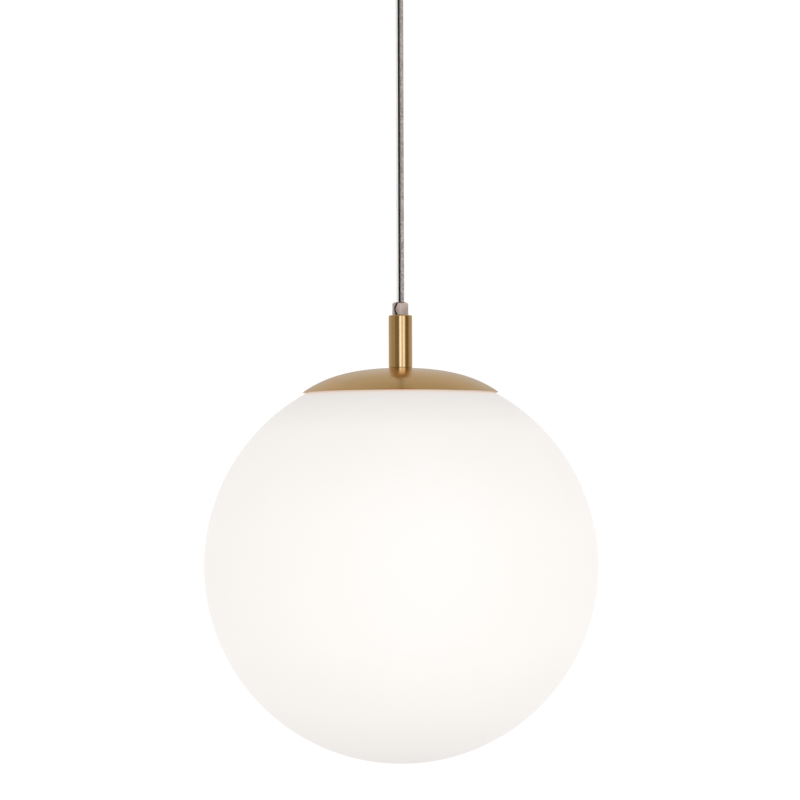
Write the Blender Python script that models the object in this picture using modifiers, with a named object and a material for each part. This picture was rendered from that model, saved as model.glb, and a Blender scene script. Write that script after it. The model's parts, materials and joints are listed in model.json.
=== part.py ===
"""Opal globe pendant light, hanging at rest from its ceiling plate.

Metres, +Z up. The origin is the centre of the ceiling plate's top face, so the whole lamp hangs
below z = 0. Sizes are written in millimetres and turned into metres by MM as each shape is made.
Three frames are used, each one an empty on the axis of the joints that it carries:
  ceiling      heights below the ceiling plane
  swing_pivot  heights from the middle of the ball that the cord hangs by
  lamp_centre  heights from the globe's centre
"""

import math

import bmesh
import bpy
from mathutils import Vector

MM = 0.001
GAP = 0.3                 # between pieces that rest on each other
FINE, ROUND, SMALL = 36, 24, 12   # sides of large, middling and small turned pieces

# Driving dimensions
GLOBE_RADIUS = 150.0
GLOBE_WALL = 2.5
GLOBE_MOUTH_RADIUS = 52.0
GLOBE_CENTRE_Z = -492.0
CAP_RADIUS = 74.6
CAP_APEX = 150.8          # heights from here on are from the globe's centre
CAP_WALL = 1.2
STEM_RADIUS = 9.0
STEM_FOOT, STEM_TOP = 151.65, 190.9
THREAD_RADIUS = 4.95      # the lamp thread, M10
THREAD_HOLE = 5.3
CORD_RADIUS = 3.05
CORD_BORE = 3.35
CORD_FOOT = 186.0
WIRE_RADIUS = 0.8
PLATE_RADIUS, PLATE_FOOT, PLATE_TOP = 44.0, 140.2, 141.7
CLIP_ANGLES = (90, 210, 330)
CLIP_SCREW_AT = 36.0
SOCKET_RADIUS, SOCKET_FOOT, SOCKET_TOP = 18.6, 91.0, 128.0
TERMINAL_AT, SOCKET_SCREW_AT = 9.0, 13.5
BULB_TOP = 118.0          # an A60 bulb, 108 mm long and 60 mm across
BULB_RADIUS = 30.0
BULB_LENGTH = 108.0

CANOPY_RADIUS = 62.5      # heights from here on are from the ceiling
CANOPY_WALL = 1.2
CANOPY_DEPTH = 28.0
BRACKET_SIZE = (116.0, 20.0, 2.5)
STUD_AT, STUD_RADIUS = 50.0, 2.0
SLOT_AT, SLOT_LENGTH, SLOT_WIDTH = 35.0, 16.0, 4.8
GROUND_SCREW_AT = 15.0
PIVOT_Z = -38.0
GLAND_THREAD = 7.3
BALL_RADIUS = 4.6
SEAL_INNER, SEAL_OUTER = 4.9, 6.5
SEAL_HALF_HEIGHT = 2.4
GLAND_CUP = 6.8


# ---------------------------------------------------------------- scene and helpers

def empty_scene():
    for old in list(bpy.data.objects):
        bpy.data.objects.remove(old, do_unlink=True)


def collection(name):
    made = bpy.data.collections.new(name)
    bpy.context.scene.collection.children.link(made)
    return made


empty_scene()
PARTS = collection("globe_pendant")
CUTTERS = collection("cutters")


def material(name, colour, roughness, metallic=0.0, emission=0.0):
    made = bpy.data.materials.new(name)
    made.use_nodes = True
    shader = made.node_tree.nodes["Principled BSDF"]
    shader.inputs["Base Color"].default_value = (*colour, 1.0)
    shader.inputs["Roughness"].default_value = roughness
    shader.inputs["Metallic"].default_value = metallic
    if emission:
        shader.inputs["Emission Color"].default_value = (*colour, 1.0)
        shader.inputs["Emission Strength"].default_value = emission
    made.diffuse_color = (*colour, 1.0)
    return made


SATIN_BRASS = material("satin_brass", (0.55, 0.42, 0.23), 0.32, 1.0)
BRASS = material("contact_brass", (0.70, 0.52, 0.22), 0.3, 1.0)
STEEL = material("zinc_steel", (0.62, 0.63, 0.64), 0.35, 1.0)
GREEN_STEEL = material("green_steel", (0.08, 0.33, 0.12), 0.4, 0.6)
OPAL = material("opal_glass", (0.96, 0.96, 0.93), 0.45, 0.0, 0.4)
PORCELAIN = material("porcelain", (0.86, 0.85, 0.80), 0.2)
CLEAR = material("clear_plastic", (0.72, 0.72, 0.72), 0.15)
JACKET = material("cord_jacket", (0.42, 0.39, 0.38), 0.3)
RUBBER = material("black_rubber", (0.03, 0.03, 0.03), 0.7)
SILICONE = material("silicone", (0.85, 0.85, 0.83), 0.6)
BROWN_WIRE = material("brown_wire", (0.20, 0.09, 0.04), 0.45)
BLUE_WIRE = material("blue_wire", (0.04, 0.16, 0.45), 0.45)
GREEN_WIRE = material("green_wire", (0.10, 0.40, 0.12), 0.45)
NUT_PLASTIC = material("nut_plastic", (0.80, 0.38, 0.06), 0.5)
BULB_PLASTIC = material("bulb_plastic", (0.88, 0.88, 0.86), 0.4)
BLACK_GLASS = material("black_glass", (0.02, 0.02, 0.025), 0.12)
BOARD = material("led_board", (0.90, 0.90, 0.88), 0.4)
DIFFUSER = material("diffuser", (0.97, 0.96, 0.92), 0.5, 0.0, 1.0)


def frame(name, height, parent=None):
    """An empty on the lamp's axis, this far above its parent."""
    made = bpy.data.objects.new(name, None)
    PARTS.objects.link(made)
    made.parent = parent
    made.location.z = height * MM
    return made


CEILING = frame("ceiling", 0.0)
PIVOT = frame("swing_pivot", PIVOT_Z, CEILING)
LAMP = frame("lamp_centre", GLOBE_CENTRE_Z - PIVOT_Z, PIVOT)


def add(name, data, finish, parent, place=(0.0, 0.0, 0.0), turn=(0.0, 0.0, 0.0)):
    """An object of the lamp, at a place in millimetres in its parent's frame."""
    made = bpy.data.objects.new(name, data)
    PARTS.objects.link(made)
    made.parent = parent
    made.location = Vector(place) * MM
    made.rotation_euler = [math.radians(angle) for angle in turn]
    data.materials.append(finish)
    return made


def line_mesh(name, points, closed=False):
    """A mesh of one line through points."""
    data = bpy.data.meshes.new(name)
    edges = [(i, i + 1) for i in range(len(points) - 1)]
    if closed:
        edges.append((len(points) - 1, 0))
    data.from_pydata([Vector(p) * MM for p in points], edges, [])
    return data


def turned(name, profile, finish, parent, steps=ROUND, ring=False, place=(0, 0, 0), turn=(0, 0, 0)):
    """A turned piece. Its profile of (radius, height) runs down the outer side, and a ring closes."""
    data = line_mesh(name, [(radius, 0.0, height) for radius, height in profile], ring)
    made = add(name, data, finish, parent, place, turn)
    screw = made.modifiers.new("turn", "SCREW")
    screw.axis = "Z"
    screw.angle = math.tau
    screw.steps = steps
    screw.render_steps = steps
    screw.use_merge_vertices = True
    screw.merge_threshold = 0.00001
    screw.use_smooth_shade = True
    return made


def tube(name, inner, outer, top, foot, finish, parent, steps=SMALL):
    profile = [(inner, top), (outer, top), (outer, foot), (inner, foot)]
    return turned(name, profile, finish, parent, steps, ring=True)


def arc(centre, radius, start, end, count):
    """Points of (radius, height) on an arc, at angles in degrees up from the horizontal."""
    points = []
    for i in range(count + 1):
        angle = math.radians(start + (end - start) * i / count)
        points.append((radius * math.cos(angle), centre + radius * math.sin(angle)))
    return points


def helper(name, data, parent, place=(0, 0, 0), turn=(0, 0, 0)):
    """A shape for a Boolean, which isn't a piece of the lamp."""
    made = bpy.data.objects.new(name, data)
    CUTTERS.objects.link(made)
    made.parent = parent
    made.location = Vector(place) * MM
    made.rotation_euler = [math.radians(angle) for angle in turn]
    made.hide_render = True
    made.display_type = "WIRE"
    return made


def boolean(target, other, operation="DIFFERENCE"):
    step = target.modifiers.new(operation.lower(), "BOOLEAN")
    step.operation = operation
    step.solver = "EXACT"
    step.object = other


def cylinder_mesh(name, radius, length, sides=SMALL):
    data = bpy.data.meshes.new(name)
    shape = bmesh.new()
    bmesh.ops.create_cone(
        shape, cap_ends=True, segments=sides,
        radius1=radius * MM, radius2=radius * MM, depth=length * MM,
    )
    shape.to_mesh(data)
    shape.free()
    return data


def drill(target, radius, top, foot, at=(0.0, 0.0), sides=SMALL):
    """Cuts an upright hole through target, between two heights."""
    name = f"{target.name}_hole_{len(target.modifiers)}"
    middle = (at[0], at[1], (top + foot) / 2)
    cutter = helper(name, cylinder_mesh(name, radius, top - foot, sides), target.parent, middle)
    boolean(target, cutter)


def slab_mesh(name, size, corner):
    """A flat bar with rounded corners, centred on its own origin."""
    data = bpy.data.meshes.new(name)
    shape = bmesh.new()
    bmesh.ops.create_cube(shape, size=1.0)
    bmesh.ops.scale(shape, vec=Vector(size) * MM, verts=shape.verts)
    upright = [e for e in shape.edges if abs(e.verts[0].co.z - e.verts[1].co.z) > size[2] * MM / 2]
    bmesh.ops.bevel(shape, geom=upright, offset=corner * MM, segments=4, affect="EDGES", profile=0.5)
    shape.to_mesh(data)
    shape.free()
    return data


def hex_nut(name, flats, foot, height, bore, finish, parent):
    data = cylinder_mesh(name, flats / math.sqrt(3.0), height, 6)
    made = add(name, data, finish, parent, (0.0, 0.0, foot + height / 2))
    drill(made, bore, foot + height + 1.0, foot - 1.0, sides=24)
    return made


def screw(name, head_radius, head, shank_radius, tip, finish, parent, at, head_up=False):
    """A screw along Z: its head lies between two heights, and its shank runs on to its tip."""
    low, high = head
    crown = 0.3 * (high - low)
    if head_up:
        profile = [
            (0.0, high), (head_radius - crown, high), (head_radius, high - crown),
            (head_radius, low), (shank_radius, low), (shank_radius, tip), (0.0, tip),
        ]
    else:
        profile = [
            (0.0, tip), (shank_radius, tip), (shank_radius, high), (head_radius, high),
            (head_radius, low + crown), (head_radius - crown, low), (0.0, low),
        ]
    return turned(name, profile, finish, parent, SMALL, place=(*at, 0.0))


def smooth_route(points, per_span=4):
    """Points on one smooth curve through the route's own points."""
    ends = [2 * Vector(points[0]) - Vector(points[1])]
    ends += [Vector(p) for p in points]
    ends.append(2 * Vector(points[-1]) - Vector(points[-2]))
    route = []
    for before, here, there, after in zip(ends, ends[1:], ends[2:], ends[3:]):
        for i in range(per_span):
            t = i / per_span
            route.append(0.5 * (
                2 * here + (there - before) * t
                + (2 * before - 5 * here + 4 * there - after) * t * t
                + (3 * here - before - 3 * there + after) * t * t * t
            ))
    route.append(ends[-2])
    return route


def wire(name, route, radius, finish, parent, rounding=1):
    """A round wire or cord along a route in millimetres, as a curve with filled ends."""
    data = bpy.data.curves.new(name, "CURVE")
    data.dimensions = "3D"
    spline = data.splines.new("POLY")
    spline.points.add(len(route) - 1)
    for point, place in zip(spline.points, route):
        point.co = (*(Vector(place) * MM), 1.0)
    data.bevel_depth = radius * MM
    data.bevel_resolution = rounding
    data.use_fill_caps = True
    return add(name, data, finish, parent)


def strip(name, path, width, thickness, finish, parent, angle=0.0):
    """Sheet metal bent along a path of (radius, height), turned to an angle about the axis."""
    data = bpy.data.meshes.new(name)
    shape = bmesh.new()
    row = [shape.verts.new(Vector((r, -width / 2, h)) * MM) for r, h in path]
    edges = [shape.edges.new(pair) for pair in zip(row, row[1:])]
    swept = bmesh.ops.extrude_edge_only(shape, edges=edges)["geom"]
    far_side = [v for v in swept if isinstance(v, bmesh.types.BMVert)]
    bmesh.ops.translate(shape, vec=(0.0, width * MM, 0.0), verts=far_side)
    shape.to_mesh(data)
    shape.free()
    made = add(name, data, finish, parent, turn=(0.0, 0.0, angle))
    wall = made.modifiers.new("thickness", "SOLIDIFY")
    wall.thickness = thickness * MM
    wall.offset = 0.0
    return made


def around(radius, degrees):
    return (radius * math.cos(math.radians(degrees)), radius * math.sin(math.radians(degrees)))


# ---------------------------------------------------------------- ceiling fixing

def make_bracket():
    length, width, thickness = BRACKET_SIZE
    data = slab_mesh("ceiling_bracket", BRACKET_SIZE, 4.0)
    bracket = add("ceiling_bracket", data, STEEL, CEILING, (0.0, 0.0, -thickness / 2))
    for side in (-1, 1):
        slot = slab_mesh("slot", (SLOT_LENGTH, SLOT_WIDTH, 3 * thickness), 0.499 * SLOT_WIDTH)
        cutter = helper(f"slot_{side}", slot, CEILING, (side * SLOT_AT, 0.0, -thickness / 2))
        boolean(bracket, cutter)
        drill(bracket, STUD_RADIUS + GAP, 2.0, -2 * thickness, (side * STUD_AT, 0.0))
    drill(bracket, 2.1, 2.0, -2 * thickness, (GROUND_SCREW_AT, 0.0))


def make_canopy():
    """A drawn cup, open against the ceiling, with a rounded lower edge."""
    rim, corner = -0.5, 6.0
    floor = -CANOPY_DEPTH
    inner = CANOPY_RADIUS - CANOPY_WALL
    hole = GLAND_THREAD + GAP

    def edge(radius, height, steps=4):
        return [
            (radius - corner + r, z)
            for r, z in arc(height + corner, corner, 0.0, -90.0, steps)
        ]

    outside = [(inner, rim), (CANOPY_RADIUS, rim)] + edge(CANOPY_RADIUS, floor)
    inside = edge(inner, floor + CANOPY_WALL)
    profile = outside + [(hole, floor), (hole, floor + CANOPY_WALL)] + inside[::-1]
    canopy = turned("canopy", profile, SATIN_BRASS, CEILING, FINE, ring=True)
    for side in (-1, 1):
        drill(canopy, STUD_RADIUS + 2 * GAP, floor + 4.0, floor - 4.0, (side * STUD_AT, 0.0))


def make_stud(name, side):
    """A canopy stud, screwed up into the bracket, and the blind nut that holds the canopy to it."""
    place = (side * STUD_AT, 0.0, 0.0)
    foot = -33.0
    turned(f"canopy_stud_{name}", [
        (0.0, -0.4), (STUD_RADIUS - 0.3, -0.4), (STUD_RADIUS, -0.8),
        (STUD_RADIUS, foot + 0.4), (STUD_RADIUS - 0.3, foot), (0.0, foot),
    ], STEEL, CEILING, SMALL, place=place)
    bore, top = STUD_RADIUS + GAP, -CANOPY_DEPTH - GAP
    turned(f"cap_nut_{name}", [
        (0.0, foot - GAP), (bore, foot - GAP), (bore, top), (4.2, top), (4.5, top - 0.4),
        (4.5, top - 4.2), (4.0, top - 5.8), (2.6, top - 7.0), (0.0, top - 7.4),
    ], SATIN_BRASS, CEILING, SMALL, place=place)


def make_gland():
    """The cord gland in the canopy: its body, lock nut, dome nut, seal and the cord's ball."""
    collar_top = -CANOPY_DEPTH - GAP
    collar_foot = collar_top - 3.0
    shoulder = PIVOT_Z + 5.6
    bore = CORD_RADIUS + 0.45
    turned("gland_body", [
        (bore, -21.0), (GLAND_THREAD, -21.0), (GLAND_THREAD, collar_top), (10.1, collar_top),
        (10.5, collar_top - 0.4), (10.5, collar_foot), (8.2, collar_foot), (8.2, PIVOT_Z),
        (GLAND_CUP, PIVOT_Z), (GLAND_CUP, shoulder), (bore, shoulder),
    ], SATIN_BRASS, CEILING, ROUND, ring=True)
    nut_foot = -CANOPY_DEPTH + CANOPY_WALL + GAP
    hex_nut("gland_lock_nut", 20.0, nut_foot, 3.5, GLAND_THREAD + GAP, STEEL, CEILING)

    # The dome nut's seat is a part sphere, and its mouth opens so that the cord can lean 28 degrees.
    mouth_at = 3.47
    seat_end = -math.degrees(math.asin(mouth_at / GLAND_CUP))
    seat = arc(0.0, GLAND_CUP, 0.0, seat_end, 4)
    nut = [(8.5, 6.4), (10.2, 6.4), (10.5, 6.0), (10.5, -4.5), (10.1, -6.4), (9.2, -7.7), (8.5, -8.0)]
    nut += [(8.2, -7.9)] + seat[::-1]
    nut += [(GLAND_CUP, -GAP), (8.5, -GAP)]
    turned("gland_dome_nut", nut, SATIN_BRASS, PIVOT, ROUND, ring=True)

    seal_side = math.degrees(math.asin(SEAL_HALF_HEIGHT / SEAL_OUTER))
    seal_bore = math.degrees(math.asin(SEAL_HALF_HEIGHT / SEAL_INNER))
    seal = arc(0.0, SEAL_OUTER, seal_side, -seal_side, 4)
    seal += arc(0.0, SEAL_INNER, -seal_bore, seal_bore, 4)
    turned("gland_seal", seal, RUBBER, PIVOT, ring=True)

    pole = math.degrees(math.acos(CORD_BORE / BALL_RADIUS))
    turned("cord_ball", arc(0.0, BALL_RADIUS, pole, -pole, 6), BRASS, PIVOT, SMALL, ring=True)


def make_ceiling_wiring():
    """The cord's end above the gland, its three leads, two wire nuts and the earth lug."""
    tail_foot, tail_top = PIVOT_Z + 5.9, -18.5
    wire("cord_upper_tail", [(0, 0, tail_foot), (0, 0, tail_top)], CORD_RADIUS, JACKET, CEILING, 2)
    start = tail_top + GAP
    nut_mouth, nut_level = -18.0, -14.0
    for name, finish, side in (("live", BROWN_WIRE, 1), ("neutral", BLUE_WIRE, -1)):
        nut_x = side * TERMINAL_AT
        wire(f"ceiling_lead_{name}", smooth_route([
            (side * 1.2, -1.2, start), (side * 1.4, -1.8, -15.0), (side * 3.2, -5.0, -12.6),
            (side * 6.5, -10.0, -12.8), (nut_x, -15.0, -13.8), (nut_x, nut_mouth, nut_level),
            (nut_x, nut_mouth - 7.0, nut_level),
        ], 3), 0.9, finish, CEILING)
        turned(f"wire_nut_{name}", [
            (0.0, -10.0), (2.6, -10.0), (2.6, 0.0), (4.3, 0.0), (4.6, -0.8), (4.6, -3.0),
            (3.7, -13.6), (2.6, -15.6), (0.0, -16.2),
        ], NUT_PLASTIC, CEILING, SMALL, place=(nut_x, nut_mouth, nut_level), turn=(-90.0, 0.0, 0.0))

    lug_top = -BRACKET_SIZE[2] - GAP
    lug_foot = lug_top - 0.6
    barrel_z = lug_top - 1.5
    lug = turned("ground_lug", [
        (2.1, 0.0), (4.6, 0.0), (4.6, lug_foot - lug_top), (2.1, lug_foot - lug_top),
    ], STEEL, CEILING, SMALL, ring=True, place=(GROUND_SCREW_AT, 0.0, lug_top))
    barrel = cylinder_mesh("lug_barrel", 1.5, 5.7)
    boolean(lug, helper("lug_barrel", barrel, CEILING, (8.05, 0.0, barrel_z), (0, 90, 0)), "UNION")
    bore = cylinder_mesh("lug_bore", 1.15, 6.0)
    boolean(lug, helper("lug_bore", bore, CEILING, (6.5, 0.0, barrel_z), (0, 90, 0)))
    screw("ground_screw", 3.9, (lug_foot - 2.3, lug_foot - GAP), 1.7, -0.4, GREEN_STEEL, CEILING,
          (GROUND_SCREW_AT, 0.0))
    wire("ceiling_lead_ground", smooth_route([
        (0.0, 1.7, start), (0.2, 2.4, -14.5), (0.6, 2.2, -9.0), (2.4, 0.8, -5.2),
        (5.0, 0.0, barrel_z), (9.1, 0.0, barrel_z),
    ], 3), 0.9, GREEN_WIRE, CEILING)


# ---------------------------------------------------------------- cord and stem

def make_cord():
    """The taut cord, from inside the gland's ball down into the stem's cord grip."""
    top = 4.0
    foot = GLOBE_CENTRE_Z - PIVOT_Z + CORD_FOOT
    runs = 16
    route = [(0.0, 0.0, top + (foot - top) * i / runs) for i in range(runs + 1)]
    wire("cord", route, CORD_RADIUS, JACKET, PIVOT, 2)


def make_stem():
    grip_foot, grip_top = STEM_TOP + GAP, 200.8
    turned("lamp_cord_grip", [
        (CORD_BORE, grip_top), (4.9, grip_top), (5.7, grip_top - 0.4), (6.1, grip_top - 1.2),
        (6.2, grip_top - 2.4), (6.2, grip_foot), (THREAD_RADIUS, grip_foot),
        (THREAD_RADIUS, 180.0), (CORD_BORE, 180.0),
    ], CLEAR, LAMP, ring=True)
    turned("stem", [
        (THREAD_HOLE, STEM_TOP), (STEM_RADIUS - 1.2, STEM_TOP), (STEM_RADIUS - 0.35, STEM_TOP - 0.4),
        (STEM_RADIUS, STEM_TOP - 1.3), (STEM_RADIUS, STEM_FOOT + 0.3),
        (STEM_RADIUS - 0.3, STEM_FOOT), (THREAD_HOLE, STEM_FOOT),
    ], SATIN_BRASS, LAMP, ROUND, ring=True)
    tube("stem_washer", THREAD_HOLE, 8.4, STEM_FOOT - GAP, STEM_FOOT - 0.7, RUBBER, LAMP)
    tube("threaded_nipple", 3.4, THREAD_RADIUS, 165.0, 133.5, STEEL, LAMP)


# ---------------------------------------------------------------- cap and globe holder

def cap_height(radius):
    """The cap's outer face: a shallow dome that steepens to its rim."""
    return CAP_APEX - 0.00194 * radius**2 - 2.5e-7 * radius**4


def globe_height(radius, sphere=GLOBE_RADIUS):
    return math.sqrt(sphere**2 - radius**2)


def make_cap():
    flat, rim_foot, count = STEM_RADIUS, 132.0, 6
    radii = [flat + (CAP_RADIUS - flat) * i / count for i in range(count + 1)]
    outside = [(THREAD_HOLE, cap_height(flat))] + [(r, cap_height(r)) for r in radii]
    inner_rim = CAP_RADIUS - 1.9
    radii[-1] = inner_rim
    inside = [(r, cap_height(r) - CAP_WALL) for r in radii]
    inside = [(THREAD_HOLE, cap_height(flat) - CAP_WALL)] + inside
    profile = outside + [(CAP_RADIUS, rim_foot), (inner_rim, rim_foot)] + inside[::-1]
    turned("cap", profile, SATIN_BRASS, LAMP, FINE, ring=True)
    inner, outer = 53.5, 57.5
    turned("cap_gasket", [
        (inner, cap_height(inner) - CAP_WALL - GAP), (outer, cap_height(outer) - CAP_WALL - GAP),
        (outer, globe_height(outer) + GAP), (inner, globe_height(inner) + GAP),
    ], SILICONE, LAMP, FINE, ring=True)


def make_holder():
    """What hangs on the nipple under the cap: washer, nuts, and the plate with its spring clips."""
    under_cap = cap_height(STEM_RADIUS) - CAP_WALL
    tube("lock_washer", THREAD_HOLE, 8.5, under_cap - GAP, under_cap - 1.4, STEEL, LAMP)
    hex_nut("hex_nut_upper", 15.0, 144.0, 3.7, THREAD_HOLE, STEEL, LAMP)
    hex_nut("hex_nut_lower", 15.0, PLATE_FOOT - GAP - 3.7, 3.7, THREAD_HOLE, STEEL, LAMP)
    plate = tube("holder_plate", THREAD_HOLE, PLATE_RADIUS, PLATE_TOP, PLATE_FOOT, STEEL, LAMP, FINE)
    clip_level = PLATE_FOOT - GAP - 0.3
    path = [
        (30.0, clip_level), (43.2, clip_level), (45.4, 138.2), (47.0, 135.2), (48.4, 133.2),
        (50.4, 132.8), (52.6, 134.2), (55.0, 136.0),
    ]
    for number, angle in enumerate(CLIP_ANGLES, 1):
        at = around(CLIP_SCREW_AT, angle)
        drill(plate, 1.75, PLATE_TOP + 1.0, PLATE_FOOT - 1.0, at)
        clip = strip(f"spring_clip_{number}", path, 9.0, 0.6, STEEL, LAMP, angle)
        drill(clip, 1.75, clip_level + 1.0, clip_level - 1.0, at)
        screw(f"clip_screw_{number}", 2.6, (clip_level - 2.2, clip_level - 0.6), 1.4, 143.0, STEEL,
              LAMP, at)


def make_globe():
    """The opal glass, with a round hole at the top and a squared glass edge there."""
    inner = GLOBE_RADIUS - GLOBE_WALL
    mouth = math.degrees(math.acos(GLOBE_MOUTH_RADIUS / GLOBE_RADIUS))
    mouth_inner = math.degrees(math.acos((GLOBE_MOUTH_RADIUS + 0.4) / inner))
    inside = arc(0.0, inner, -90.0, 0.0, 9) + arc(0.0, inner, 0.0, mouth_inner, 7)[1:]
    outside = arc(0.0, GLOBE_RADIUS, mouth, 0.0, 7) + arc(0.0, GLOBE_RADIUS, 0.0, -90.0, 9)[1:]
    inside[0] = (0.0, -inner)
    outside[-1] = (0.0, -GLOBE_RADIUS)
    turned("globe", inside + outside, OPAL, LAMP, FINE)


# ---------------------------------------------------------------- socket and bulb

def make_socket():
    top, wall = 135.9, 1.0
    outer, inner, foot = 20.0, 19.2, 118.0
    cap = turned("socket_cap", [
        (THREAD_HOLE, top), (outer - 1.5, top), (outer, top - 1.5), (outer, foot), (inner, foot),
        (inner, top - wall - 1.0), (inner - 1.0, top - wall), (THREAD_HOLE, top - wall),
    ], STEEL, LAMP, ROUND, ring=True)
    cavity_radius, cavity_top = 14.4, 122.0
    body = turned("socket_body", [
        (0.0, SOCKET_TOP), (SOCKET_RADIUS - 0.8, SOCKET_TOP), (SOCKET_RADIUS, SOCKET_TOP - 0.8),
        (SOCKET_RADIUS, SOCKET_FOOT + 1.0), (SOCKET_RADIUS - 1.0, SOCKET_FOOT),
        (cavity_radius, SOCKET_FOOT), (cavity_radius, cavity_top), (0.0, cavity_top),
    ], PORCELAIN, LAMP, ROUND)
    turned("screw_shell", [
        (9.0, 120.8), (13.95, 120.8), (13.95, 97.0), (13.45, 97.0), (13.45, 120.2), (9.0, 120.2),
    ], BRASS, LAMP, ROUND, ring=True)
    strip("centre_contact", [(8.2, 121.4), (3.0, 121.4), (0.4, 120.2), (-2.6, 119.0)], 5.0, 0.5,
          BRASS, LAMP)
    for number, side in ((1, 1), (2, -1)):
        at = (0.0, side * SOCKET_SCREW_AT)
        drill(cap, 1.65, top + 1.0, top - wall - 1.0, at)
        drill(body, 1.65, SOCKET_TOP + 1.0, 123.5, at)
        screw(f"socket_screw_{number}", 2.6, (top + GAP, top + 1.9), 1.3, 123.9, STEEL, LAMP, at, True)
    wire_level = SOCKET_TOP + GAP + WIRE_RADIUS
    for name, side in (("live", 1), ("neutral", -1)):
        at = (side * TERMINAL_AT, 0.0)
        drill(body, 1.85, SOCKET_TOP + 1.0, 124.2, at)
        screw(f"terminal_screw_{name}", 3.0, (wire_level + 1.1, wire_level + 2.7), 1.5, 124.6, BRASS,
              LAMP, at, True)
    return wire_level


def make_lamp_wiring(wire_level):
    """The cord's three leads, down through the stem and nipple to the socket."""
    top = CORD_FOOT - 0.6
    for name, finish, side in (("live", BROWN_WIRE, 1), ("neutral", BLUE_WIRE, -1)):
        hook = side * (1.5 + GAP + WIRE_RADIUS)
        wire(f"lamp_lead_{name}", smooth_route([
            (side * 1.5, 0.0, top), (side * 1.5, 0.0, 160.0), (side * 1.5, 0.0, 136.0),
            (side * 2.2, side * 0.8, 133.0), (side * 3.6, side * 2.0, 130.6),
            (side * 5.6, hook, wire_level + 0.1), (side * 8.2, hook, wire_level),
            (side * 11.0, hook, wire_level),
        ], 3), WIRE_RADIUS, finish, LAMP)
    wire("lamp_lead_ground", smooth_route([
        (0.0, 1.5, top), (0.0, 1.5, 160.0), (0.0, 1.5, 136.0), (0.5, 2.3, 133.2),
        (1.6, 4.8, 131.0), (2.4, 8.4, 130.4), (2.45, 12.0, 130.4), (2.45, 16.0, 130.4),
    ], 3), WIRE_RADIUS, GREEN_WIRE, LAMP)


def make_bulb():
    """An A60 LED bulb: contact tip, glass insulator, screw base, housing, board and diffuser."""
    foot = BULB_TOP - BULB_LENGTH
    centre = foot + BULB_RADIUS
    turned("bulb_tip", [(0.0, BULB_TOP), (1.8, BULB_TOP - 0.2), (3.0, BULB_TOP - 0.7), (3.2, 116.8),
                        (0.0, 116.8)], STEEL, LAMP, SMALL)
    turned("bulb_insulator", [(0.0, 116.5), (4.4, 116.5), (6.0, 115.8), (10.4, 112.9),
                              (10.4, 112.5), (0.0, 112.5)], BLACK_GLASS, LAMP)
    turned("bulb_screw_base", [
        (4.8, 112.2), (9.6, 112.2), (13.0, 108.6), (13.0, 88.0), (12.5, 88.0), (12.5, 108.3),
        (9.4, 111.7), (4.8, 111.7),
    ], BRASS, LAMP, ROUND, ring=True)
    turned("bulb_housing", [
        (0.0, 103.0), (12.1, 103.0), (12.1, 87.6), (14.2, 87.6), (14.6, 86.0), (16.8, 78.0),
        (21.5, 66.0), (25.6, 55.5), (27.6, 48.6), (27.6, 47.0), (25.8, 47.0), (25.6, 50.0),
        (23.2, 57.0), (19.5, 66.0), (14.8, 78.0), (0.0, 82.0),
    ], BULB_PLASTIC, LAMP, ROUND)
    turned("led_board", [(0.0, 51.4), (24.6, 51.4), (24.6, 50.0), (0.0, 50.0)], BOARD, LAMP, ROUND)
    wall, rim = 1.2, 46.7
    outer_edge = math.degrees(math.asin((rim - centre) / BULB_RADIUS))
    inner_edge = math.degrees(math.asin((rim - centre) / (BULB_RADIUS - wall)))
    inside = arc(centre, BULB_RADIUS - wall, -90.0, inner_edge, 7)
    outside = arc(centre, BULB_RADIUS, outer_edge, -90.0, 7)
    inside[0] = (0.0, foot + wall)
    outside[-1] = (0.0, foot)
    turned("bulb_diffuser", inside + outside, DIFFUSER, LAMP, ROUND)


make_bracket()
make_canopy()
make_stud("left", -1)
make_stud("right", 1)
make_gland()
make_ceiling_wiring()
make_cord()
make_stem()
make_cap()
make_holder()
make_globe()
make_lamp_wiring(make_socket())
make_bulb()
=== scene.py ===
"""The looks of the opal globe pendant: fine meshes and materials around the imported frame.

Every piece is modelled in millimetres, at heights from one of three levels on the lamp's axis: the
ceiling, the swing pivot in the canopy's gland, or the globe's centre. Sizes come from the frame.
"""

import itertools
import json
import math

import bmesh
import bpy
from mathutils import Matrix, Vector


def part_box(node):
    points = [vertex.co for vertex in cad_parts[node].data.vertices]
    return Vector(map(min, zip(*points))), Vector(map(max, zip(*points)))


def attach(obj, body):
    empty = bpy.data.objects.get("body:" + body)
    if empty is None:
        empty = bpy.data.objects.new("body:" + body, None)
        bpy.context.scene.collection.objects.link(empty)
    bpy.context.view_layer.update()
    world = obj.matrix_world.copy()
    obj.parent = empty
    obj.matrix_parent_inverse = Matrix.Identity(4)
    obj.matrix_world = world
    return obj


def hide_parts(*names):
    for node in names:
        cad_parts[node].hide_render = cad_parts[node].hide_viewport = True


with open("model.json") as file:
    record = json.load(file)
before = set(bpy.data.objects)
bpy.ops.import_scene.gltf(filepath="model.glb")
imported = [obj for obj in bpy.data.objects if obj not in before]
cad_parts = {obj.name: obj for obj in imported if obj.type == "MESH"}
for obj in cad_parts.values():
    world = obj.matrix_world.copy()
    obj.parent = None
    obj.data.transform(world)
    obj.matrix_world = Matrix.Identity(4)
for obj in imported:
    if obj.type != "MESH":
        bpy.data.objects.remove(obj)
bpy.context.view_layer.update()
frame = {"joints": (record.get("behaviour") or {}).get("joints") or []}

MM = 0.001
TAU = math.tau


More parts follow.
